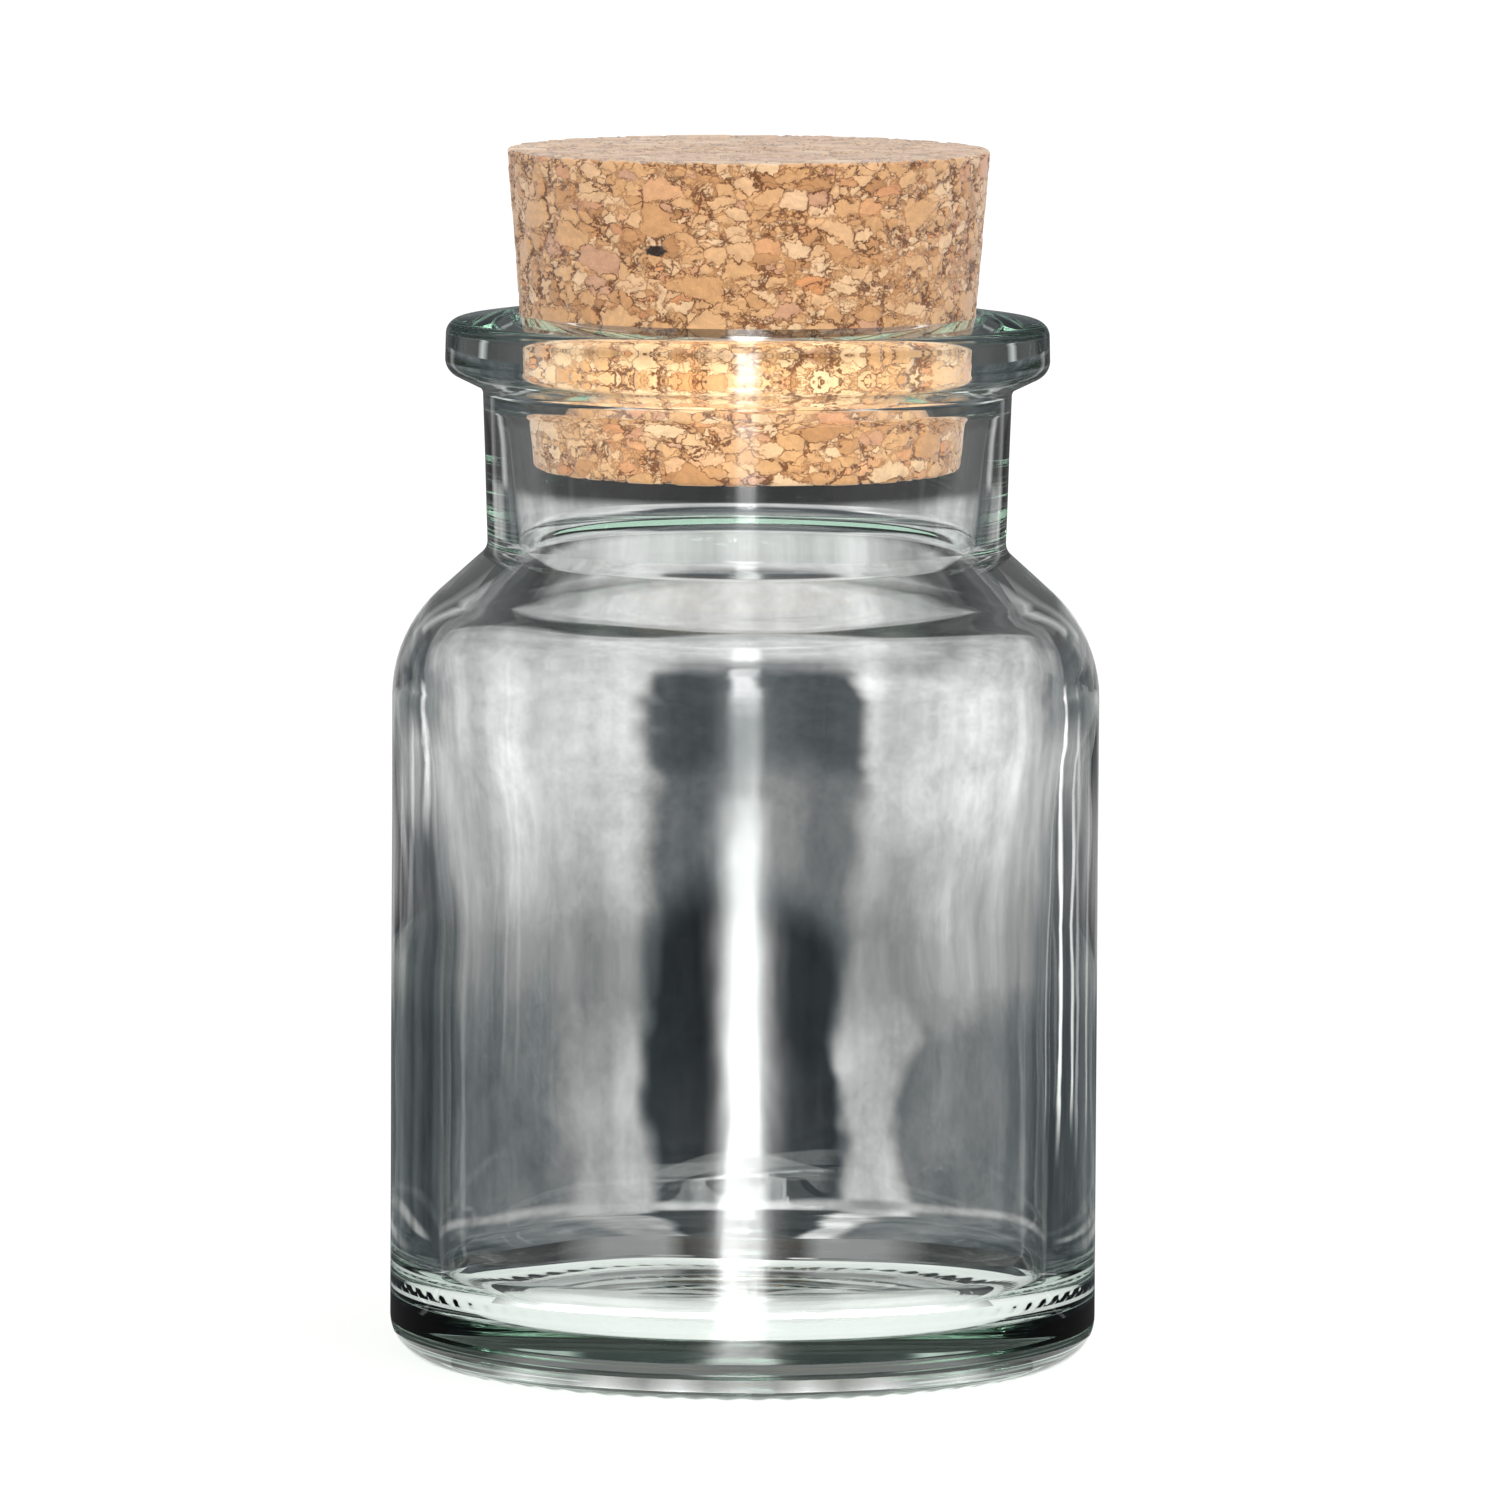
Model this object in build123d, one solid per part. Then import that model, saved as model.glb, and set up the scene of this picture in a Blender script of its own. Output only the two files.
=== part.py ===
from build123d import *

import math
import os

# A storage jar of thick moulded glass, closed by a tapered stopper of pressed cork.
# Sizes are in millimetres. Z is up, and the origin is the centre of the plane it stands on.

# Jar, outside
body_diameter = 60.0
body_height = 61.75  # standing plane to where the lines of the wall and the shoulder cross
heel_round = 3.8
standing_ring_width = 3.6
push_up = 1.6  # how far the middle of the underside stands clear of the table
push_up_slope_width = 4.0
shoulder_rise = 7.2  # from that crossing to where the shoulder's line meets the neck
shoulder_round = 11.8
neck_length = 13.65  # shoulder to the underside of the lip
neck_round = 1.5

# Lip
lip_underside_rise = 1.55
lip_band_height = 4.05
lip_crown = 0.9  # how far the top face climbs towards the mouth
lip_overhang = 3.2
lip_draft = 0.1
lip_lower_round = 1.5
lip_upper_round = 1.3

# Mouth and neck, inside
mouth_diameter = 38.7
mouth_bevel = 0.5
bore_length = 6.0  # the straight part that grips the stopper
neck_widening = 1.3  # how much wider, in radius, the neck is just below the bore
widening_drop = 2.0
neck_wall_top = 1.75
neck_wall_base = 2.6
neck_flare = 0.45  # how much wider, in outer radius, the neck is at its top

# Wall and floor
shoulder_wall = 2.4
shoulder_inside_round = 9.5
wall_upper = 2.7
wall_lower = 3.9
thin_wall_length = 11.0  # from the shoulder down to where the wall starts to thicken
wall_step_length = 6.0
floor_thickness = 3.0
floor_round = 4.5

# Pads that the standing ring bears on
pad_count = 66
pad_width = 2.05
pad_length = 3.3
pad_height = 0.35
pad_root = 0.5  # how far each pad runs up into the glass of the ring

# Stopper
stopper_height = 27.2
stopper_insertion = 13.4  # how deep it sits below the top of the lip
stopper_draft_angle = 4.66
stopper_clearance = 0.05
stopper_edge_bevel = 0.4

# Heights and radii that follow from them
body_radius = body_diameter / 2
mouth_radius = mouth_diameter / 2
neck_base_height = body_height + shoulder_rise
lip_base_height = neck_base_height + neck_length
lip_side_height = lip_base_height + lip_underside_rise
lip_edge_height = lip_side_height + lip_band_height
jar_height = lip_edge_height + lip_crown
bore_end_height = jar_height - bore_length
neck_top_radius = mouth_radius + neck_widening + neck_wall_top
neck_base_radius = neck_top_radius - neck_flare
lip_radius = neck_top_radius + lip_overhang
ring_outer_radius = body_radius - heel_round
ring_inner_radius = ring_outer_radius - standing_ring_width
ring_middle_radius = (ring_inner_radius + ring_outer_radius) / 2
floor_height = push_up + floor_thickness

# A corner's round may use this much of the shorter side beside it
side_share = 0.498


def shoulder_inside_height(radius):
    slope = shoulder_rise / (body_radius - neck_base_radius)
    outside_height = body_height + slope * (body_radius - radius)
    return outside_height - shoulder_wall * math.hypot(1, slope)


def fitting_round(before, corner, after, wanted):
    to_before = Vector(*before) - Vector(*corner)
    to_after = Vector(*after) - Vector(*corner)
    half_angle = math.radians(to_before.get_angle(to_after)) / 2
    room = side_share * min(to_before.length, to_after.length)
    return min(wanted, room * math.tan(half_angle))


def rounded_loop(corners):
    # Each corner is a radius, a height and the round that it wants
    points = [(radius, height) for radius, height, _ in corners]
    before = points[-1:] + points[:-1]
    after = points[1:] + points[:1]
    wanted = [corner_round for _, _, corner_round in corners]
    rounds = [fitting_round(*places) for places in zip(before, points, after, wanted)]
    return FilletPolyline(*points, radius=rounds, close=True)


def jar_outline():
    # The glass is one line, from the standing ring up the outside, over the lip and down the inside
    throat_radius = neck_base_radius - neck_wall_base
    neck_inside_radius = mouth_radius + neck_widening
    upper_radius = body_radius - wall_upper
    lower_radius = body_radius - wall_lower
    thin_wall_height = body_height - thin_wall_length
    corners = [
        (ring_inner_radius, pad_height, 0),
        (body_radius, pad_height, heel_round),
        (body_radius, body_height, shoulder_round),
        (neck_base_radius, neck_base_height, neck_round),
        (neck_top_radius, lip_base_height, 0),
        (lip_radius, lip_side_height, lip_lower_round),
        (lip_radius - lip_draft, lip_edge_height, lip_upper_round),
        (mouth_radius + mouth_bevel, jar_height, 0),
        (mouth_radius, jar_height - mouth_bevel, 0),
        (mouth_radius, bore_end_height, 0),
        (neck_inside_radius, bore_end_height - widening_drop, 0),
        (throat_radius, shoulder_inside_height(throat_radius), 0),
        (upper_radius, shoulder_inside_height(upper_radius), shoulder_inside_round),
        (upper_radius, thin_wall_height, 0),
        (lower_radius, thin_wall_height - wall_step_length, 0),
        (lower_radius, floor_height, floor_round),
        (0, floor_height, 0),
        (0, push_up, 0),
        (ring_inner_radius - push_up_slope_width, push_up, 0),
    ]
    return rounded_loop(corners)


def standing_pads():
    with BuildPart() as pads:
        with BuildSketch():
            with PolarLocations(ring_middle_radius, pad_count):
                Rectangle(pad_length, pad_width)
        extrude(amount=pad_height + pad_root)
    return pads.part


def make_jar():
    profile = Plane.XZ * make_face(jar_outline())
    return revolve(profile, Axis.Z) + standing_pads()


def make_stopper():
    # Its cone meets the mouth where the bevel ends, less the clearance
    draft = math.tan(math.radians(stopper_draft_angle))
    seat_height = jar_height - mouth_bevel
    seat_radius = mouth_radius - stopper_clearance
    base_height = jar_height - stopper_insertion
    top_height = base_height + stopper_height
    base_radius = seat_radius - draft * (seat_height - base_height)
    top_radius = seat_radius + draft * (top_height - seat_height)
    outline = Polyline(
        (0, base_height),
        (base_radius - stopper_edge_bevel, base_height),
        (base_radius, base_height + stopper_edge_bevel),
        (top_radius, top_height - stopper_edge_bevel),
        (top_radius - stopper_edge_bevel, top_height),
        (0, top_height),
        (0, base_height),
    )
    return revolve(Plane.XZ * make_face(outline), Axis.Z)


pieces = {
    "glass_jar": make_jar(),
    "cork_stopper": make_stopper(),
}

os.makedirs("parts", exist_ok=True)
for name, solid in pieces.items():
    export_step(solid, f"parts/{name}.step")
    print(name, "volume", round(solid.volume), "mm3, height to", round(solid.bounding_box().max.Z, 2))
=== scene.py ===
import math

import bpy
import numpy as np
from mathutils import Matrix, Vector


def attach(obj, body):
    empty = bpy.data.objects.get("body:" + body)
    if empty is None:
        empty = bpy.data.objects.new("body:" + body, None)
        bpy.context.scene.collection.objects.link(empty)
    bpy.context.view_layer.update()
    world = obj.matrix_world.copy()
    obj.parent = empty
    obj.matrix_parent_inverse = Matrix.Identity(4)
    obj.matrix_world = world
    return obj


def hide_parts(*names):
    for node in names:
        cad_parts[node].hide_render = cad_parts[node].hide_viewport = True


# A corked jar of thick clear glass. The jar and the stopper are turned meshes that take
# the place of the two CAD solids. Lengths in the dictionaries are millimetres.

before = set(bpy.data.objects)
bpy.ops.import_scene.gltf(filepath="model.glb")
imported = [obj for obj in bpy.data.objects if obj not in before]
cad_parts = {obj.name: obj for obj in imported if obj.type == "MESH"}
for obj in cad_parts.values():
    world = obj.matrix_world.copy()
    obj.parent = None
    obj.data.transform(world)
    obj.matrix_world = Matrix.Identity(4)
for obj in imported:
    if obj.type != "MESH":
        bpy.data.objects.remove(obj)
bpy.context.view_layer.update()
millimetre = 0.001
noiseLow, noiseHigh = 0.3, 0.7   # nearly all of a noise texture lies between these
print("frame loaded:", sorted(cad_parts))


def linear(hexColour):
    # sRGB hex to the linear colour that a shader takes
    parts = [int(hexColour[i:i + 2], 16) / 255 for i in (1, 3, 5)]
    return [c / 12.92 if c <= 0.04045 else ((c + 0.055) / 1.055) ** 2.4 for c in parts] + [1]


def addNode(tree, kind, inputs=None, **settings):
    # One node with its settings. An input is a value or the socket that feeds it.
    node = tree.nodes.new(kind)
    for name, value in settings.items():
        setattr(node, name, value)
    for name, value in (inputs or {}).items():
        if isinstance(value, bpy.types.NodeSocket):
            tree.links.new(value, node.inputs[name])
        else:
            node.inputs[name].default_value = value
    return node


def newMaterial(name):
    material = bpy.data.materials.new(name)
    material.use_nodes = True
    material.node_tree.nodes.clear()
    return material, material.node_tree


def newObject(name, mesh, material):
    made = bpy.data.objects.new(name, mesh)
    bpy.context.scene.collection.objects.link(made)
    mesh.materials.append(material)
    return made


def placeInMillimetres(tree):
    # The object's own coordinates, so that a pattern stays on its piece in every pose
    where = addNode(tree, "ShaderNodeTexCoord")
    place = addNode(tree, "ShaderNodeVectorMath", {0: where.outputs["Object"], "Scale": 1 / millimetre},
                    operation="SCALE")
    return place.outputs[0]


# The camera

camera = {
    "distance": 1200.0,
    "height": 174.8,      # of the lens above the table
    "aim": 51.8,          # height it looks at, on the jar's axis
    "lens": 341.2,        # a long lens far off: the sides stay nearly parallel
    "sensor": 36.0,
    "roll": 0.0055,       # radians, the jar leans a hair to the left
    "shiftX": 0.003,      # of the picture's width
    "clip": (50, 50000),  # nearest and farthest that it sees
}


def makeCamera(c):
    data = bpy.data.cameras.new("portraitCamera")
    data.lens = c["lens"]
    data.sensor_width = c["sensor"]
    data.shift_x = c["shiftX"]
    data.clip_start, data.clip_end = [at * millimetre for at in c["clip"]]
    cam = bpy.data.objects.new("portraitCamera", data)
    bpy.context.scene.collection.objects.link(cam)
    place = Vector((0, -c["distance"], c["height"])) * millimetre
    look = Vector((0, 0, c["aim"])) * millimetre - place
    turn = look.to_track_quat("-Z", "Y").to_matrix().to_4x4()
    cam.matrix_world = Matrix.Translation(place) @ turn @ Matrix.Rotation(c["roll"], 4, "Z")
    bpy.context.scene.camera = cam


makeCamera(camera)
print("camera ready")


# Turned meshes

def roundedLine(corners, arcStep, longest):
    # Corners are radius, height and round. Rounds become arcs, long runs are divided.
    sideShare = 0.498   # of the shorter side beside a corner, which its round may use
    leastCut = 0.01     # a round that cuts off less leaves the corner sharp
    points = [np.array(c[:2], float) for c in corners]
    line = [points[0]]
    for i in range(1, len(points) - 1):
        corner, wanted = points[i], corners[i][2]
        back, on = points[i - 1] - corner, points[i + 1] - corner
        backLength, onLength = np.linalg.norm(back), np.linalg.norm(on)
        back, on = back / backLength, on / onLength
        opening = math.acos(np.clip(back @ on, -1, 1))
        cut = min(wanted / math.tan(opening / 2), sideShare * min(backLength, onLength))
        if cut < leastCut:
            line.append(corner)
            continue
        fit = cut * math.tan(opening / 2)
        middle = (back + on) / np.linalg.norm(back + on)
        centre = corner + middle * fit / math.sin(opening / 2)
        start, end = corner + back * cut - centre, corner + on * cut - centre
        turning = math.pi - opening
        steps = max(2, math.ceil(math.degrees(turning) / arcStep))
        for k in range(steps + 1):
            t = k / steps
            a = math.sin((1 - t) * turning) / math.sin(turning)
            b = math.sin(t * turning) / math.sin(turning)
            line.append(centre + start * a + end * b)
    line.append(points[-1])
    out = [line[0]]
    for p in line[1:]:
        gap = np.linalg.norm(p - out[-1])
        pieces = max(1, math.ceil(gap / longest))
        out += [out[-1] + (p - out[-1]) * (k + 1) / pieces for k in range(pieces)]
    return np.array(out)


def turnedMesh(name, line, columns, shape=None):
    # Both ends of the line lie on the axis, where the rows close in a fan
    rows = line[1:-1]
    around = np.linspace(0, 2 * math.pi, columns, endpoint=False)
    radius = np.repeat(rows[:, :1], columns, 1)
    height = np.repeat(rows[:, 1:], columns, 1)
    angle = np.repeat(around[None, :], len(rows), 0)
    if shape is not None:
        radius, height = shape(radius, height, angle)
    grid = np.stack([radius * np.cos(angle), radius * np.sin(angle), height], -1)
    points = np.concatenate([grid.reshape(-1, 3), [[0, 0, line[0, 1]], [0, 0, line[-1, 1]]]])
    count = len(rows) * columns
    index = np.arange(count).reshape(len(rows), columns)
    low, high = index[:-1], index[1:]
    quads = np.stack([low, np.roll(low, -1, 1), np.roll(high, -1, 1), high], -1)
    faces = quads.reshape(-1, 4).tolist()
    for k in range(columns):
        after = (k + 1) % columns
        faces.append([count, int(index[0, after]), int(index[0, k])])
        faces.append([count + 1, int(index[-1, k]), int(index[-1, after])])
    mesh = bpy.data.meshes.new(name)
    mesh.from_pydata((points * millimetre).tolist(), [], faces)
    mesh.polygons.foreach_set("use_smooth", [True] * len(mesh.polygons))
    mesh.update()
    return mesh


# The glass jar

jar = {
    # radius, height and round of each corner of the glass, up the outside and down the inside
    "outline": {
        "undersideMiddle": (0, 1.75, 0),
        "undersideFlat": (12.0, 1.6, 30),
        "undersideSlope": (18.6, 1.3, 5),
        "ringInner": (22.5, 0, 1.0),
        "heel": (30.0, 0, 4.0),
        "shoulder": (30.0, 61.75, 11.9),
        "neckBase": (21.95, 68.95, 1.5),
        "neckTop": (22.4, 82.55, 0.75),
        "lipLower": (25.62, 84.1, 1.55),
        "lipUpper": (25.52, 88.25, 1.25),
        "mouth": (19.35, 89.1, 0.6),
        "boreEnd": (19.35, 83.1, 0.8),        # down to here the mouth grips the stopper
        "neckInside": (20.65, 81.1, 1.2),
        "throat": (19.35, 68.05, 2.5),
        "shoulderInside": (27.3, 60.95, 9.5),
        "thinWall": (27.25, 53.5, 60),        # from here down the wall grows thicker
        "thickWall": (26.05, 36.0, 60),
        "floorCorner": (25.95, 4.6, 4.5),
        "floorMiddle": (0, 4.6, 0),
    },
    "arcStep": 5.0,           # degrees between two rows of a round
    "rowStep": 2.7,           # the most between two rows
    "pads": 66,               # on the standing ring, with a notch between two: the foot's scallops
    "padColumns": 6,          # of the mesh, to each pad
    "notchDepth": 0.13,
    "notchReach": 0.5,        # how far the notches climb the heel
    "notchStart": 25.9,       # radius where they begin
    "notchRun": 0.5,          # they are at full depth this much further out
    "notchLean": 0.6,         # share of their depth that they also cut inwards
    "insideRadius": 27.35,    # within it lies the inside of the wall
    "wallWave": 0.055,        # the unevenness that blowing leaves on the inside
    "wallSpan": (4.7, 80.5),  # between these heights
    "skinWave": 0.012,        # and on the outside
    "skinSpan": (4, 81),
    "spanFade": (6, 4),       # how far from the lower and upper end of a span it fades
    "floorWave": 0.12,        # in height, out to this radius
    "floorRadius": 24,
    "floorFade": 4,           # from the middle and from that radius
    "waves": 14,              # how many add up to the unevenness
    "seed": 7,
}


def jarShape(j):
    # Notches between the pads, and the slight waves that blowing leaves in the wall and floor
    dice = np.random.default_rng(j["seed"])
    waves = [(dice.integers(1, 9), dice.uniform(0, 6.3), dice.uniform(14, 60), dice.uniform(0, 6.3),
              dice.uniform(0.4, 1.0)) for _ in range(j["waves"])]
    floor = j["outline"]["floorMiddle"][1]

    def unevenness(angle, height):
        total = sum(size * np.cos(turns * angle + start) * np.cos(2 * math.pi * height / length + phase)
                    for turns, start, length, phase, size in waves)
        return total / math.sqrt(len(waves))

    def within(value, span, fades):
        # 1 inside the span, falling to 0 at both of its ends
        rise = np.clip((value - span[0]) / fades[0], 0, 1)
        return rise * np.clip((span[1] - value) / fades[1], 0, 1)

    def shape(radius, height, angle):
        notch = (1 - np.cos(angle * j["pads"])) / 2   # 1 between two pads
        climb = np.clip(1 - height / j["notchReach"], 0, 1)
        outward = np.clip((radius - j["notchStart"]) / j["notchRun"], 0, 1)
        bite = j["notchDepth"] * notch * climb * outward
        height = height + bite
        radius = radius - bite * j["notchLean"]
        low, high = j["wallSpan"]
        inside = (radius < j["insideRadius"]) & (height > low) & (height < high)
        wave = j["wallWave"] * within(height, j["wallSpan"], j["spanFade"]) * unevenness(angle, height)
        radius = radius + np.where(inside, wave, 0)
        onFloor = np.abs(height - floor) < 0.01
        wave = j["floorWave"] * within(radius, (0, j["floorRadius"]), (j["floorFade"], j["floorFade"]))
        height = height + np.where(onFloor, wave * unevenness(angle, 2 * radius), 0)
        wave = j["skinWave"] * within(height, j["skinSpan"], j["spanFade"])
        radius = radius - np.where(inside, 0, wave * (1 + unevenness(angle + 1, height)))
        return radius, height

    return shape


# Soda-lime glass, blown into an iron mould and fire polished. It shows no grain at all: only
# clean reflections, white lines where the wall bends, and a green cast where light runs along it.
glassLook = {
    "colour": "#FFFFFF",
    "ior": 1.52,
    "roughness": 0.0,
    "cast": "#D7EFE2",
    "castDensity": 22.0,      # per metre, so 10 mm of glass still looks clear
    "lampColour": "#FFFFFF",  # what a lamp's light is left with after one surface
}


def makeGlass(g):
    material, tree = newMaterial("sodaLimeGlassBlownFirePolished")
    glass = addNode(tree, "ShaderNodeBsdfPrincipled", {
        "Base Color": linear(g["colour"]), "Roughness": g["roughness"], "IOR": g["ior"],
        "Transmission Weight": 1.0})
    path = addNode(tree, "ShaderNodeLightPath")
    clear = addNode(tree, "ShaderNodeBsdfTransparent", {"Color": linear(g["lampColour"])})
    through = addNode(tree, "ShaderNodeMath", {
        0: path.outputs["Is Shadow Ray"], 1: path.outputs["Is Diffuse Ray"]}, operation="MAXIMUM")
    surface = addNode(tree, "ShaderNodeMixShader", {
        0: through.outputs[0], 1: glass.outputs[0], 2: clear.outputs[0]})
    inside = addNode(tree, "ShaderNodeVolumeAbsorption", {
        "Color": linear(g["cast"]), "Density": g["castDensity"]})
    addNode(tree, "ShaderNodeOutputMaterial", {
        "Surface": surface.outputs[0], "Volume": inside.outputs[0]})
    return material


jarLine = roundedLine(list(jar["outline"].values()), jar["arcStep"], jar["rowStep"])
jarMesh = turnedMesh("glassJar", jarLine, jar["pads"] * jar["padColumns"], jarShape(jar))
glassJar = newObject("glassJar", jarMesh, makeGlass(glassLook))
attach(glassJar, "jar")
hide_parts("glass_jar")
print("glass jar:", len(jarMesh.polygons), "faces")


# The cork stopper

cork = {
    "baseRadius": 18.22,
    "base": 75.7,
    "topRadius": 20.47,
    "top": 102.9,
    "edgeRound": 0.35,
    "arcStep": 15,                # degrees between two rows of a round
    "rowStep": 0.27,
    "columns": 480,
    "grains": [3.0, 1.7, 0.85],   # mean size of shards, of granules and of the fines between them
    "kept": [0.86, 0.42],         # a shard or granule shows where its dice are above this
    "flake": (0.8, 0.8, 1.4),     # granules lie flat: they are wider than high
    "ragged": 1.5,                # how far their borders wander
    "raggedScale": 1.1,           # per mm
    "seamWidth": 0.11,            # the line of glue between two granules
    "crevice": (-0.05, 0.15),     # least and greatest width of the open ones, below 0 for none
    "creviceScale": 0.6,          # per mm, of the parts with and without them
    "creviceSpan": (0.42, 0.72),  # of that noise, from closed to widest open
    "creviceEdge": (-0.02, 0.06),
    "creviceDepth": 0.25,
    "unevenness": 0.08,           # how far below its neighbours a granule may lie
}


def corkLine(c):
    corners = [(0, c["base"], 0), (c["baseRadius"], c["base"], c["edgeRound"]),
               (c["topRadius"], c["top"], c["edgeRound"]), (0, c["top"], 0)]
    line = roundedLine(corners, c["arcStep"], c["rowStep"])
    flat = (line[:, 1] < c["base"] + 0.001) | (line[:, 1] > c["top"] - 0.001)
    keep = ~flat | (np.arange(len(line)) % 2 == 0)   # the ends need half as many rows
    keep[-1] = True
    return line[keep]


def corkPattern(tree, place, c):
    # Granules of three sizes, from a place in millimetres. The same nodes cut the mesh and colour it.
    inShader = tree.bl_idname == "ShaderNodeTree"
    split = "ShaderNodeSeparateColor" if inShader else "FunctionNodeSeparateColor"
    bend = addNode(tree, "ShaderNodeTexNoise", {
        "Vector": place, "Scale": c["raggedScale"], "Detail": 3.0, "Roughness": 0.65})
    centred = addNode(tree, "ShaderNodeVectorMath", {0: bend.outputs["Color"], 1: (0.5, 0.5, 0.5)},
                      operation="SUBTRACT")
    scaled = addNode(tree, "ShaderNodeVectorMath", {0: centred.outputs[0], "Scale": c["ragged"]},
                     operation="SCALE")
    moved = addNode(tree, "ShaderNodeVectorMath", {0: place, 1: scaled.outputs[0]}, operation="ADD")
    bent = addNode(tree, "ShaderNodeVectorMath", {0: moved.outputs[0], 1: c["flake"]},
                   operation="MULTIPLY").outputs[0]
    layers = []
    for size in c["grains"]:
        away = (size * 7, size * 3, size * 5)   # so that no two sizes share their borders
        shift = addNode(tree, "ShaderNodeVectorMath", {0: bent, 1: away}, operation="ADD")
        cells = {"Vector": shift.outputs[0], "Scale": 1 / size}
        cell = addNode(tree, "ShaderNodeTexVoronoi", cells, feature="F1")
        border = addNode(tree, "ShaderNodeTexVoronoi", cells, feature="DISTANCE_TO_EDGE")
        edge = addNode(tree, "ShaderNodeMath", {0: border.outputs["Distance"], 1: size},
                       operation="MULTIPLY")
        layers.append((cell.outputs["Color"], edge.outputs[0]))
    colour, edge = layers[2]
    for (ownColour, ownEdge), least in ((layers[1], c["kept"][1]), (layers[0], c["kept"][0])):
        dice = addNode(tree, split, {0: ownColour})
        shows = addNode(tree, "ShaderNodeMath", {0: dice.outputs[0], 1: least}, operation="GREATER_THAN")
        colour = addNode(tree, "ShaderNodeMix", {0: shows.outputs[0], 4: colour, 5: ownColour},
                         data_type="VECTOR").outputs[1]
        # where a granule isn't there its border still cuts the finer ones
        other = addNode(tree, "ShaderNodeMath", {0: edge, 1: ownEdge}, operation="MINIMUM")
        edge = addNode(tree, "ShaderNodeMix", {0: shows.outputs[0], 2: other.outputs[0], 3: ownEdge},
                       data_type="FLOAT").outputs[0]
    dice = addNode(tree, split, {0: colour})
    gaps = addNode(tree, "ShaderNodeTexNoise", {
        "Vector": place, "Scale": c["creviceScale"], "Detail": 4.0, "Roughness": 0.7})
    gapWidth = addNode(tree, "ShaderNodeMapRange", {
        "Value": gaps.outputs["Fac"], "From Min": c["creviceSpan"][0], "From Max": c["creviceSpan"][1],
        "To Min": c["crevice"][0], "To Max": c["crevice"][1]})
    share = addNode(tree, "ShaderNodeMath", {0: edge, 1: gapWidth.outputs[0]}, operation="SUBTRACT")
    crevice = addNode(tree, "ShaderNodeMapRange", {
        "Value": share.outputs[0], "From Min": c["creviceEdge"][0], "From Max": c["creviceEdge"][1],
        "To Min": 1.0, "To Max": 0.0})
    seam = addNode(tree, "ShaderNodeMapRange", {
        "Value": edge, "From Min": 0.0, "From Max": c["seamWidth"], "To Min": 1.0, "To Max": 0.0})
    return {"crevice": crevice.outputs[0], "seam": seam.outputs[0], "dice": dice.outputs[1],
            "dice2": dice.outputs[2], "cell": colour, "bent": bent}


def cutCork(stopper, c):
    # Sinks the crevices and the lower granules into the turned mesh
    tree = bpy.data.node_groups.new("corkSurface", "GeometryNodeTree")
    tree.interface.new_socket(name="Geometry", in_out="INPUT", socket_type="NodeSocketGeometry")
    tree.interface.new_socket(name="Geometry", in_out="OUTPUT", socket_type="NodeSocketGeometry")
    start = addNode(tree, "NodeGroupInput")
    position = addNode(tree, "GeometryNodeInputPosition")
    normal = addNode(tree, "GeometryNodeInputNormal")
    place = addNode(tree, "ShaderNodeVectorMath", {0: position.outputs[0], "Scale": 1 / millimetre},
                    operation="SCALE")
    pattern = corkPattern(tree, place.outputs[0], c)
    deep = addNode(tree, "ShaderNodeMath", {0: pattern["crevice"], 1: c["creviceDepth"]},
                   operation="MULTIPLY")
    deeper = addNode(tree, "ShaderNodeMath", {0: pattern["dice"], 1: c["unevenness"], 2: deep.outputs[0]},
                     operation="MULTIPLY_ADD")
    inward = addNode(tree, "ShaderNodeMath", {0: deeper.outputs[0], 1: -millimetre}, operation="MULTIPLY")
    offset = addNode(tree, "ShaderNodeVectorMath", {0: normal.outputs[0], "Scale": inward.outputs[0]},
                     operation="SCALE")
    moved = addNode(tree, "GeometryNodeSetPosition", {
        "Geometry": start.outputs[0], "Offset": offset.outputs[0]})
    addNode(tree, "NodeGroupOutput", {0: moved.outputs[0]})
    stopper.modifiers.new("corkSurface", "NODES").node_group = tree


# Cork ground to granules of 0.5 to 5 mm, glued and pressed, then turned and sanded. Each granule keeps its
# own tan, with fine streaks of bark running its own way, and dark crevices between some, whose darkness is
# partly painted shade in the gaps and partly the cork's own darker brown.
corkLook = {
    "granules": [(0.0, "#C08B5C"), (0.10, "#D09A68"), (0.28, "#DBA875"), (0.48, "#E2B180"),
                 (0.66, "#E8BC8E"), (0.84, "#EFC99F"), (0.93, "#DC9863"), (1.0, "#D0A284")],
    "seam": ("#A06A3A", 0.7),            # colour, and how far it covers the granule's own
    # darker still in the open crevices: partly painted shade in the gaps
    "crevice": ("#6E3F22", 0.85),
    "bark": "#2E221A",
    "barkPlace": (-7.7, -18.4, 95.4),    # of the one dark fleck, at the front
    "barkShape": (1.0, 0.5, 2.0),        # it is flat: half as high as it is wide
    "barkRagged": 0.9,
    "barkEdge": (1.25, 1.5),
    "roughness": 0.82,
    "ior": 1.45,
    "dust": 0.4,                         # cork dust, pale where the surface is seen aslant
    "dustRoughness": 0.5,
    "topPaintedSheen": ("#EFE6DA", 0.3),         # a pale coat painted on the top: painted sheen and light on its level face
    "topSheenSlope": (0.5, 0.95),            # how level a surface is where it begins and is full
    "streak": 0.35,                      # spacing of the streaks in a granule
    "streakShape": (1.0, 0.18, 0.5),     # closeness along its three axes: they are long
    "streakTurn": 12.0,                  # radians that the dice may turn them
    "streakShade": (0.84, 1.1),          # how dark and how light they make it
    "pore": 0.12,                        # cork cells are 0.04 mm, drawn coarser so that they show
    "poreShade": (0.93, 1.05),
    "relief": 0.12,
    "reliefStrength": 0.5,
    "reliefShares": (0.1, -1.2, 0.25),   # of the streaks, the crevices and the pores
}


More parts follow.
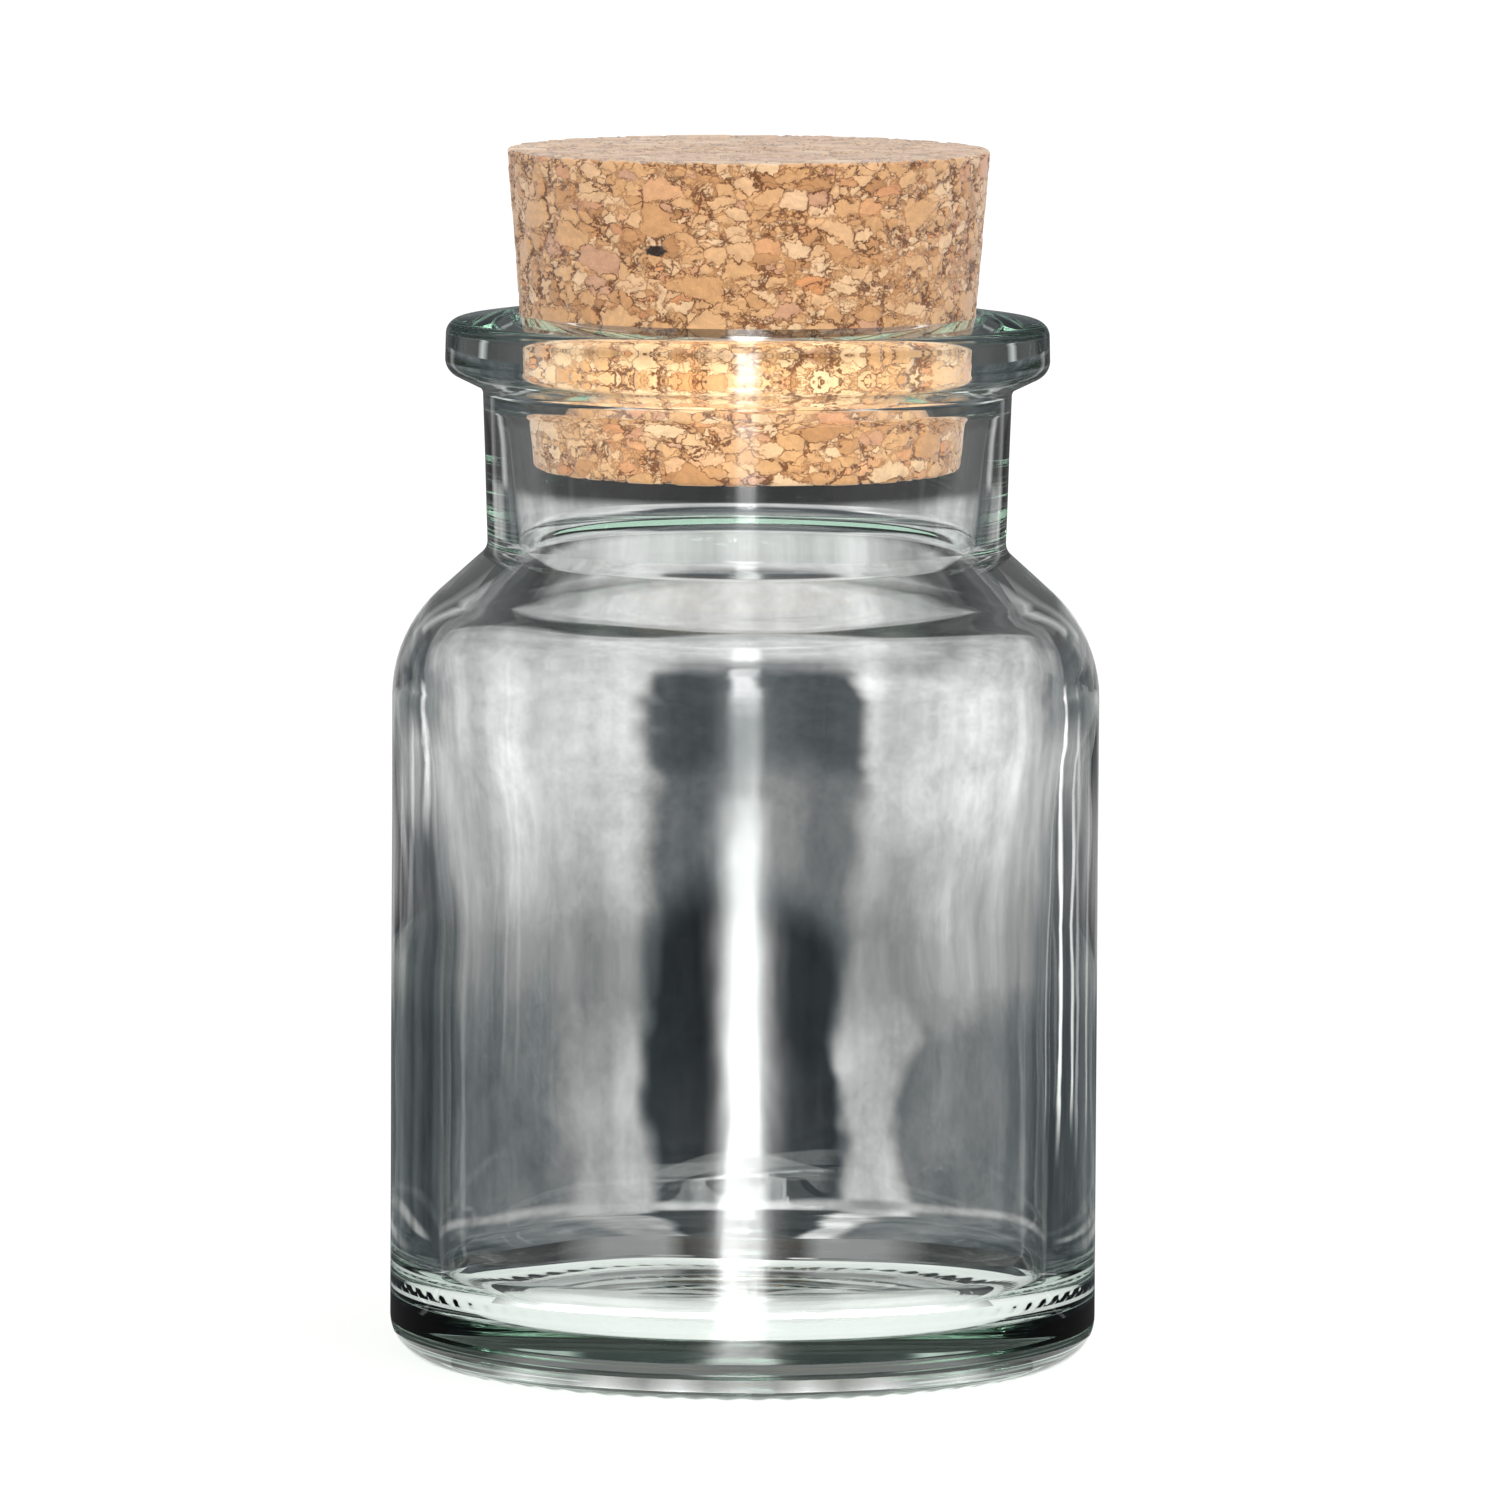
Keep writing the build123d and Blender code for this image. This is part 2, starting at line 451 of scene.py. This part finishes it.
def corkGrain(tree, pattern, place, k):
    # Streaks are noise drawn out along a way of its own in each granule. Pores are finer noise.
    spin = addNode(tree, "ShaderNodeMath", {0: pattern["dice2"], 1: k["streakTurn"]},
                   operation="MULTIPLY")
    turned = addNode(tree, "ShaderNodeVectorRotate", {
        "Vector": pattern["bent"], "Axis": pattern["cell"], "Angle": spin.outputs[0]},
        rotation_type="AXIS_ANGLE")
    drawnOut = [share / k["streak"] for share in k["streakShape"]]
    drawn = addNode(tree, "ShaderNodeVectorMath", {0: turned.outputs[0], 1: drawnOut},
                    operation="MULTIPLY")
    streak = addNode(tree, "ShaderNodeTexNoise", {
        "Vector": drawn.outputs[0], "Scale": 1.0, "Detail": 3.0})
    pores = addNode(tree, "ShaderNodeTexNoise", {
        "Vector": place, "Scale": 1 / k["pore"], "Detail": 2.0})
    return streak.outputs["Fac"], pores.outputs["Fac"]


def barkFleck(tree, place, streak, k):
    # 1 on the fleck of bark, a flat grain with ragged ends
    away = addNode(tree, "ShaderNodeVectorMath", {0: place, 1: k["barkPlace"]}, operation="SUBTRACT")
    flat = addNode(tree, "ShaderNodeVectorMath", {0: away.outputs[0], 1: k["barkShape"]},
                   operation="MULTIPLY")
    far = addNode(tree, "ShaderNodeVectorMath", {0: flat.outputs[0]}, operation="LENGTH")
    ragged = addNode(tree, "ShaderNodeMath", {
        0: streak, 1: k["barkRagged"], 2: far.outputs["Value"]}, operation="MULTIPLY_ADD")
    fleck = addNode(tree, "ShaderNodeMapRange", {
        "Value": ragged.outputs[0], "From Min": k["barkEdge"][0], "From Max": k["barkEdge"][1],
        "To Min": 1.0, "To Max": 0.0})
    return fleck.outputs[0]


def paintedSheenOnTop(tree, k):
    # 1 on level surfaces that look up, where the pale painted sheen goes
    faces = addNode(tree, "ShaderNodeNewGeometry")
    upward = addNode(tree, "ShaderNodeSeparateXYZ", {0: faces.outputs["Normal"]})
    settled = addNode(tree, "ShaderNodeMapRange", {
        "Value": upward.outputs[2], "From Min": k["topSheenSlope"][0], "From Max": k["topSheenSlope"][1]})
    return settled.outputs[0]


def makeCork(k, c):
    material, tree = newMaterial("agglomeratedCorkPressedSanded")
    place = placeInMillimetres(tree)
    pattern = corkPattern(tree, place, c)
    streak, pores = corkGrain(tree, pattern, place, k)
    ramp = addNode(tree, "ShaderNodeValToRGB", {0: pattern["dice"]})
    stops = ramp.color_ramp.elements
    while len(stops) < len(k["granules"]):
        stops.new(0.5)
    for stop, (at, colour) in zip(stops, k["granules"]):
        stop.position = at
        stop.color = linear(colour)
    colour = ramp.outputs[0]
    for grain, (dark, light) in ((streak, k["streakShade"]), (pores, k["poreShade"])):
        shade = addNode(tree, "ShaderNodeMapRange", {
            "Value": grain, "From Min": noiseLow, "From Max": noiseHigh, "To Min": dark, "To Max": light})
        colour = addNode(tree, "ShaderNodeVectorMath", {0: colour, "Scale": shade.outputs[0]},
                         operation="SCALE").outputs[0]
    # The crevice coat darkens the open gaps: partly painted shade in them, partly the cork's own darker
    # brown.
    coats = [(pattern["seam"], *k["seam"]), (pattern["crevice"], *k["crevice"]),
             (barkFleck(tree, place, streak, k), k["bark"], 1.0),
             # the last coat is a pale painted sheen on the top
             (paintedSheenOnTop(tree, k), *k["topPaintedSheen"])]
    for mask, coat, cover in coats:
        amount = addNode(tree, "ShaderNodeMath", {0: mask, 1: cover}, operation="MULTIPLY")
        colour = addNode(tree, "ShaderNodeMix", {0: amount.outputs[0], 6: colour, 7: linear(coat)},
                         data_type="RGBA").outputs[2]
    height = pattern["dice2"]
    for mask, share in zip((streak, pattern["crevice"], pores), k["reliefShares"]):
        height = addNode(tree, "ShaderNodeMath", {0: mask, 1: share, 2: height},
                         operation="MULTIPLY_ADD").outputs[0]
    bump = addNode(tree, "ShaderNodeBump", {
        "Height": height, "Strength": k["reliefStrength"], "Distance": k["relief"] * millimetre})
    shader = addNode(tree, "ShaderNodeBsdfPrincipled", {
        "Base Color": colour, "Roughness": k["roughness"], "IOR": k["ior"],
        "Sheen Weight": k["dust"], "Sheen Roughness": k["dustRoughness"], "Normal": bump.outputs[0]})
    addNode(tree, "ShaderNodeOutputMaterial", {"Surface": shader.outputs[0]})
    return material


corkMesh = turnedMesh("corkStopper", corkLine(cork), cork["columns"])
corkStopper = newObject("corkStopper", corkMesh, makeCork(corkLook, cork))
cutCork(corkStopper, cork)
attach(corkStopper, "stopper")
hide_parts("cork_stopper")
print("cork stopper:", len(corkMesh.polygons), "faces")


# The studio

studio = {
    "floorColour": "#F4F4F4",
    "floorSize": 12000,
    "lift": 0.14,             # the floor shows this much lighter, so that it blends with the backdrop
    "white": "#FFFFFF",
    "ambient": 0.5,
    # degrees to the right of the front, degrees above the table, strength, spread in degrees
    "softboxes": {"frontSoftbox": (4, 35, 1.55, 40), "topSoftbox": (40, 75, 0.85, 50)},
    # strips of light on the cork behind the thick glass: height of the middle, the strip's width
    # and height, power
    "strips": [(84.6, 44, 3.4, 0.00054), (79.5, 44, 6.8, 0.00037)],
    "stripDistance": 60,
    "stripSpread": 3.0,       # degrees
    "tentRadius": 75.0,
    "tentHeight": 420.0,
    "tentBase": 1.0,
    "tentInner": 31.0,        # its skirt reaches this near the jar
    "tentSides": 128,
    "tentLevel": 0.25,        # its brightness where no panel hangs
    "darkTone": "#DFF2FF",    # its dark panels are a little blue
    "whiteFrom": 0.3,         # and those from this brightness on are white
    "sway": 2.2,              # how far the panels' upright edges wander, degrees
    "swayScale": 0.06,        # per mm, as the next three
    "wanderScale": 0.02,      # of the level edges
    # The folds and clouds are painted light and shade in the tent's glow.
    "foldScale": (0.11, 0.11, 0.012),   # painted folds in the tent's glow are narrow and tall
    "cloudScale": 0.09,
    "foldDark": 0.65,
    "cloudDark": 0.62,
    "clothLight": 1.3,
    # Panels of painted light and shade on the glowing tent, which the glass shows as painted reflections,
    # each on top of the ones before. Angles are degrees from the front. A side of 1 is the right alone, -1
    # the left alone, 0 both. An arch lowers the panel's edges towards its sides.
    "panels": [
        # brightness, from, to, soft, low, high, soft, side, arch
        # the sides
        (0.20, 40, 90, 16, 27, 76, 14, 0, 0),
        (0.45, 40, 142, 16, 31, 43, 8, 0, 0),
        (0.07, 40, 142, 16, -20, 26, 10, 0, 0),
        (0.13, 108, 142, 6, 24, 32, 8, 0, 0),
        (0.50, 108, 142, 6, 32, 43, 8, 0, 0),
        (0.16, 108, 142, 6, 43, 500, 10, 0, 0),
        (0.08, 108, 142, 6, -20, 25, 10, 0, 0),
        # upright lines of light at the sides
        (1.30, 90, 99, 4, 34, 56, 8, 0, 0),
        (0.50, 95, 97, 1.5, -20, 34, 8, 0, 0),
        (1.60, 116.5, 119.5, 2, 32, 48, 8, -1, 0),
        (1.60, 116.5, 119.5, 2, 12, 46, 8, 1, 0),
        (1.10, 128, 130, 1.5, 14, 44, 8, 1, 0),
        (0.90, 128, 130, 1.5, 30, 42, 8, -1, 0),
        # the back
        (0.62, 142, 190, 10, 25, 76, 12, 0, 0),
        (0.20, 142, 190, 10, -20, 23, 12, 0, 0),
        (0.82, 150, 173, 8, 33, 49, 10, 0, 0),
        (0.85, 165.8, 172, 3, -20, 23, 10, 1, 0),
        (0.95, 163, 173, 4, 32, 60, 10, 1, 0),
        (0.45, 162, 172, 4, -20, 22, 12, -1, 0),
        (0.70, 138, 190, 12, 50, 64, 4, 0, 0),
        (0.50, 138, 190, 12, 64.3, 77, 3, 0, 0),
        # darker from the shoulder up
        (0.13, 40, 146, 10, 62, 500, 8, 0, 0),
        (0.19, 140, 190, 10, 77, 95, 5, 0, 0),
        (0.10, 40, 190, 10, 95, 500, 8, 0, 0),
        # the dark column in the middle of the back
        (0.24, 171.2, 190, 3.5, 24, 48, 6, 0, 0.05),
        (0.12, 171.4, 190, 2.5, 41, 55, 6, 1, 0.05),
        (0.12, 172.6, 190, 3.0, 41, 55, 6, -1, 0.05),
        (0.042, 171.2, 190, 2.5, -20, 29, 6, 0, 0.05),
        # a line of light low down behind, the dark panel in front, and the light above it
        (0.45, 120, 190, 10, 1.8, 2.8, 0.8, 0, 0),
        (0.02, 9, 60, 6, 9, 500, 6, 0, 0),
        (0.90, -10, 70, 12, 100, 165, 10, 0, 0),
        # the bright strip in front, which the jar mirrors
        (0.5, -10, 6, 6, -20, 140, 8, 0, 0),
        (2.0, -10, 9, 8, -20, 34, 8, 0, 0),
        (9.0, -10, 6, 6, -20, 34, 6, 0, 0),
        (3.5, -10, 3.6, 4, 64, 77, 4, 0, 0),
        (9.0, -10, 3.6, 4, 77, 110, 4, 0, 0),
    ],
    # Glowing sheets round the glass, painted reflections that only the glass shows: radius and height of
    # both edges, then the light against the turn in degrees from the front, as it is on either side. The
    # flag fades in between two heights.
    "sheets": {
        "footCard": [(28.6, 0.35), (30.6, 0.5),
                     [(0, 9.0), (6, 6.0), (11, 12.0), (17, 5.0), (24, 10.0), (31, 4.0), (40, 6.0),
                      (48, 1.5), (60, 0.5)]],
        "heelCard": [(31, 1.4), (37, 1.4), [(0, 3.0), (40, 3.0), (50, 0.3)]],
        "heelRing": [(31.6, 0.3), (31.6, 4.6),
                     [(60, 0.05), (144, 0.05), (154, 0.30), (166, 0.32), (170, 0.05), (180, 0.05)]],
        "neckFlag": [(48, 64), (48, 84),
                     [(30, 0.12), (94, 0.12), (118, 0.08), (123, 0.7), (127, 0.10), (146, 0.13),
                      (152, 0.045), (180, 0.045)],
                     (64.3, 65.7)],
    },
    "bounces": 32,            # so many that light in the thick glass isn't cut short
    "glossyBounces": 12,
}


def seenOrMirrored(tree):
    # 1 for what the camera sees straight, in a mirror or through glass, 0 for light on matt things
    path = addNode(tree, "ShaderNodeLightPath")
    seen = path.outputs["Is Camera Ray"]
    for ray in ("Is Glossy Ray", "Is Transmission Ray"):
        seen = addNode(tree, "ShaderNodeMath", {0: seen, 1: path.outputs[ray]},
                       operation="MAXIMUM").outputs[0]
    return seen


def showOnlyMirrored(thing):
    # It shows through glass and in gloss, but not to the camera, and lights nothing matt
    thing.visible_camera = thing.visible_diffuse = thing.visible_shadow = False


def makeFloor(s):
    # Background paper, uncoated and matt. It gives a soft shadow round the foot and no gloss.
    material, tree = newMaterial("studioPaperMatte")
    glow = addNode(tree, "ShaderNodeMath", {0: seenOrMirrored(tree), 1: s["lift"]}, operation="MULTIPLY")
    shader = addNode(tree, "ShaderNodeBsdfPrincipled", {
        "Base Color": linear(s["floorColour"]), "Roughness": 1.0, "Specular IOR Level": 0.0,
        "Emission Color": linear(s["white"]), "Emission Strength": glow.outputs[0]})
    addNode(tree, "ShaderNodeOutputMaterial", {"Surface": shader.outputs[0]})
    material.cycles.emission_sampling = "NONE"
    wide = s["floorSize"] / 2 * millimetre
    corners = [(-wide, -wide, 0), (wide, -wide, 0), (wide, wide, 0), (-wide, wide, 0)]
    mesh = bpy.data.meshes.new("paperFloor")
    mesh.from_pydata(corners, [], [(0, 1, 2, 3)])
    floor = newObject("paperFloor", mesh, material)


def makeWorld(s):
    # White to the eye, and dimmer as a light on matt things
    world = bpy.data.worlds.new("studioWorld")
    bpy.context.scene.world = world
    world.use_nodes = True
    tree = world.node_tree
    tree.nodes.clear()
    strength = addNode(tree, "ShaderNodeMix", {0: seenOrMirrored(tree), 2: s["ambient"], 3: 1.0},
                       data_type="FLOAT")
    light = addNode(tree, "ShaderNodeBackground", {
        "Color": linear(s["white"]), "Strength": strength.outputs[0]})
    addNode(tree, "ShaderNodeOutputWorld", {"Surface": light.outputs[0]})


def hangPanel(tree, level, panel, at):
    # One panel over the light that the tent shows so far
    bright, first, last, turnSoft, low, high, highSoft, onSide, arch = panel
    wander = highSoft * 1.5   # the noise is 0.5 on average, so the edges wander about the middle
    height = addNode(tree, "ShaderNodeMath", {0: at["noise"], 1: wander, 2: at["height"]},
                     operation="MULTIPLY_ADD").outputs[0]
    if arch:
        height = addNode(tree, "ShaderNodeMath", {0: at["bow"], 1: arch, 2: height},
                         operation="MULTIPLY_ADD").outputs[0]
    edges = [(at["turn"], first, turnSoft, 0), (at["turn"], last, turnSoft, 1),
             (height, low + wander / 2, highSoft, 0), (height, high + wander / 2, highSoft, 1)]
    masks = [addNode(tree, "ShaderNodeMapRange", {
        "Value": value, "From Min": edge - soft / 2, "From Max": edge + soft / 2,
        "To Min": falls, "To Max": 1 - falls}, interpolation_type="SMOOTHSTEP").outputs[0]
        for value, edge, soft, falls in edges]
    if onSide:
        masks.append(addNode(tree, "ShaderNodeMath", {0: at["side"], 1: onSide}, operation="MULTIPLY",
                             use_clamp=True).outputs[0])
    mask = masks[0]
    for other in masks[1:]:
        mask = addNode(tree, "ShaderNodeMath", {0: mask, 1: other}, operation="MULTIPLY").outputs[0]
    return addNode(tree, "ShaderNodeMix", {0: mask, 2: level, 3: bright}, data_type="FLOAT").outputs[0]


def tentLight(tree, s):
    # Where a place on the tent lies, then the painted panels of light, and the painted folds and clouds of
    # the glow over them
    place = placeInMillimetres(tree)
    axes = addNode(tree, "ShaderNodeSeparateXYZ", {0: place})
    front = addNode(tree, "ShaderNodeMath", {0: axes.outputs[1], 1: -1.0}, operation="MULTIPLY")
    aside = addNode(tree, "ShaderNodeMath", {0: axes.outputs[0]}, operation="ABSOLUTE")
    turn = addNode(tree, "ShaderNodeMath", {0: aside.outputs[0], 1: front.outputs[0]},
                   operation="ARCTAN2")
    degrees = addNode(tree, "ShaderNodeMath", {0: turn.outputs[0]}, operation="DEGREES")
    wander = addNode(tree, "ShaderNodeTexNoise", {"Vector": place, "Scale": s["swayScale"], "Detail": 3.0})
    sway = addNode(tree, "ShaderNodeMapRange", {
        "Value": wander.outputs["Fac"], "From Min": noiseLow, "From Max": noiseHigh,
        "To Min": -s["sway"], "To Max": s["sway"]}, clamp=False)
    swayed = addNode(tree, "ShaderNodeMath", {0: degrees.outputs[0], 1: sway.outputs[0]},
                     operation="ADD")
    behind = addNode(tree, "ShaderNodeMath", {0: 180.0, 1: swayed.outputs[0]}, operation="SUBTRACT")
    bow = addNode(tree, "ShaderNodeMath", {0: behind.outputs[0], 1: behind.outputs[0]},
                  operation="MULTIPLY")
    side = addNode(tree, "ShaderNodeMath", {0: axes.outputs[0]}, operation="SIGN")
    noise = addNode(tree, "ShaderNodeTexNoise", {"Vector": place, "Scale": s["wanderScale"], "Detail": 3.0})
    at = {"turn": swayed.outputs[0], "height": axes.outputs[2], "bow": bow.outputs[0],
          "side": side.outputs[0], "noise": noise.outputs["Fac"]}
    level = s["tentLevel"]
    for panel in s["panels"]:
        level = hangPanel(tree, level, panel, at)
    upright = addNode(tree, "ShaderNodeVectorMath", {0: place, 1: s["foldScale"]},
                      operation="MULTIPLY")
    folds = addNode(tree, "ShaderNodeTexNoise", {
        "Vector": upright.outputs[0], "Scale": 1.0, "Detail": 4.0})
    clouds = addNode(tree, "ShaderNodeTexNoise", {
        "Vector": place, "Scale": s["cloudScale"], "Detail": 6.0, "Roughness": 0.72})
    for cloth, darkest in ((folds, s["foldDark"]), (clouds, s["cloudDark"])):
        shade = addNode(tree, "ShaderNodeMapRange", {
            "Value": cloth.outputs["Fac"], "From Min": noiseLow, "From Max": noiseHigh,
            "To Min": darkest, "To Max": s["clothLight"]})
        level = addNode(tree, "ShaderNodeMath", {0: level, 1: shade.outputs[0]},
                        operation="MULTIPLY").outputs[0]
    return level


def tentMesh(s):
    # A ring of floor, a round wall and a lid
    count = s["tentSides"]
    ring = [(math.cos(2 * math.pi * k / count), math.sin(2 * math.pi * k / count)) for k in range(count)]
    rows = [(s["tentInner"], s["tentBase"]), (s["tentRadius"], s["tentBase"]),
            (s["tentRadius"], s["tentHeight"])]
    points = [(wide * x, wide * y, z) for wide, z in rows for x, y in ring] + [(0, 0, s["tentHeight"])]
    faces = []
    for k in range(count):
        after = (k + 1) % count
        for low, high in ((0, count), (count, 2 * count)):
            faces.append((low + k, low + after, high + after, high + k))
        faces.append((2 * count + k, 2 * count + after, 3 * count))
    mesh = bpy.data.meshes.new("studioTent")
    mesh.from_pydata([[length * millimetre for length in point] for point in points], [], faces)
    return mesh


def makeTent(s):
    # A tent that glows with painted panels of light and shade, with painted folds and clouds in its glow.
    # It is no lamp: it shows only in the glass, as painted reflections of soft grey and bright panels.
    material, tree = newMaterial("studioTentPaintedGlow")
    level = tentLight(tree, s)
    tone = addNode(tree, "ShaderNodeValToRGB", {0: level})
    dark, bright = tone.color_ramp.elements
    dark.color = linear(s["darkTone"])
    bright.position = s["whiteFrom"]
    bright.color = linear(s["white"])
    glow = addNode(tree, "ShaderNodeEmission", {"Color": tone.outputs[0], "Strength": level})
    addNode(tree, "ShaderNodeOutputMaterial", {"Surface": glow.outputs[0]})
    material.cycles.emission_sampling = "NONE"
    tent = newObject("studioTent", tentMesh(s), material)
    showOnlyMirrored(tent)


def makeSheet(name, near, far, light, white, fade=None):
    # A card bent round the jar's axis that glows with painted light and lights nothing matt. In the glass
    # it gives one clean bright or dark edge, a painted reflection.
    # Its material is a painted glow, not a matt surface.
    material, tree = newMaterial(name + "Matte")
    strength = addNode(tree, "ShaderNodeAttribute", attribute_name="light")
    surface = addNode(tree, "ShaderNodeEmission", {
        "Color": linear(white), "Strength": strength.outputs["Fac"]}).outputs[0]
    if fade:
        axes = addNode(tree, "ShaderNodeSeparateXYZ", {0: placeInMillimetres(tree)})
        shown = addNode(tree, "ShaderNodeMapRange", {
            "Value": axes.outputs[2], "From Min": fade[0], "From Max": fade[1]},
            interpolation_type="SMOOTHSTEP")
        clear = addNode(tree, "ShaderNodeBsdfTransparent")
        surface = addNode(tree, "ShaderNodeMixShader", {
            0: shown.outputs[0], 1: clear.outputs[0], 2: surface}).outputs[0]
    addNode(tree, "ShaderNodeOutputMaterial", {"Surface": surface})
    material.cycles.emission_sampling = "NONE"
    turns = np.arange(light[0][0], light[-1][0] + 0.1, 1.0)
    levels = np.interp(turns, *zip(*light))
    points, faces, values = [], [], []
    for side in (1, -1):
        start, count = len(points), len(turns)
        for wide, high in (near, far):
            points += [(side * wide * millimetre * math.sin(math.radians(t)),
                        -wide * millimetre * math.cos(math.radians(t)), high * millimetre) for t in turns]
            values += levels.tolist()
        faces += [(start + k, start + k + 1, start + count + k + 1, start + count + k)
                  for k in range(count - 1)]
    mesh = bpy.data.meshes.new(name)
    mesh.from_pydata(points, [], faces)
    mesh.attributes.new("light", "FLOAT", "POINT").data.foreach_set("value", values)
    sheet = newObject(name, mesh, material)
    showOnlyMirrored(sheet)


def newLamp(name, kind, strength):
    # A lamp that lights things but isn't seen or mirrored itself
    data = bpy.data.lights.new(name, kind)
    data.energy = strength
    lamp = bpy.data.objects.new(name, data)
    bpy.context.scene.collection.objects.link(lamp)
    lamp.visible_camera = lamp.visible_glossy = lamp.visible_transmission = False
    return lamp, data


def addSoftbox(name, turn, height, strength, spread):
    # A broad far lamp
    lamp, data = newLamp(name, "SUN", strength)
    data.angle = math.radians(spread)
    turn, height = math.radians(turn), math.radians(height)
    towards = Vector((math.sin(turn) * math.cos(height), -math.cos(turn) * math.cos(height),
                      math.sin(height)))
    lamp.rotation_euler = towards.to_track_quat("Z", "Y").to_euler()


def addStrip(height, wide, high, power, distance, spread):
    # A narrow beam from the front on the cork, in place of the light that real thick glass gathers
    lamp, data = newLamp("mouthStrip", "AREA", power)
    data.shape = "RECTANGLE"
    data.size, data.size_y = wide * millimetre, high * millimetre
    data.spread = math.radians(spread)
    lamp.location = Vector((0, -distance, height)) * millimetre
    lamp.rotation_euler = (math.radians(90), 0, 0)


makeFloor(studio)
makeWorld(studio)
makeTent(studio)
for name, (near, far, light, *fade) in studio["sheets"].items():
    makeSheet(name, near, far, light, studio["white"], *fade)
for name, box in studio["softboxes"].items():
    addSoftbox(name, *box)
for strip in studio["strips"]:
    addStrip(*strip, studio["stripDistance"], studio["stripSpread"])
bpy.context.scene.view_settings.view_transform = "Standard"
cycles = bpy.context.scene.cycles
cycles.max_bounces = cycles.transmission_bounces = cycles.transparent_max_bounces = studio["bounces"]
cycles.glossy_bounces = studio["glossyBounces"]
print("studio ready")
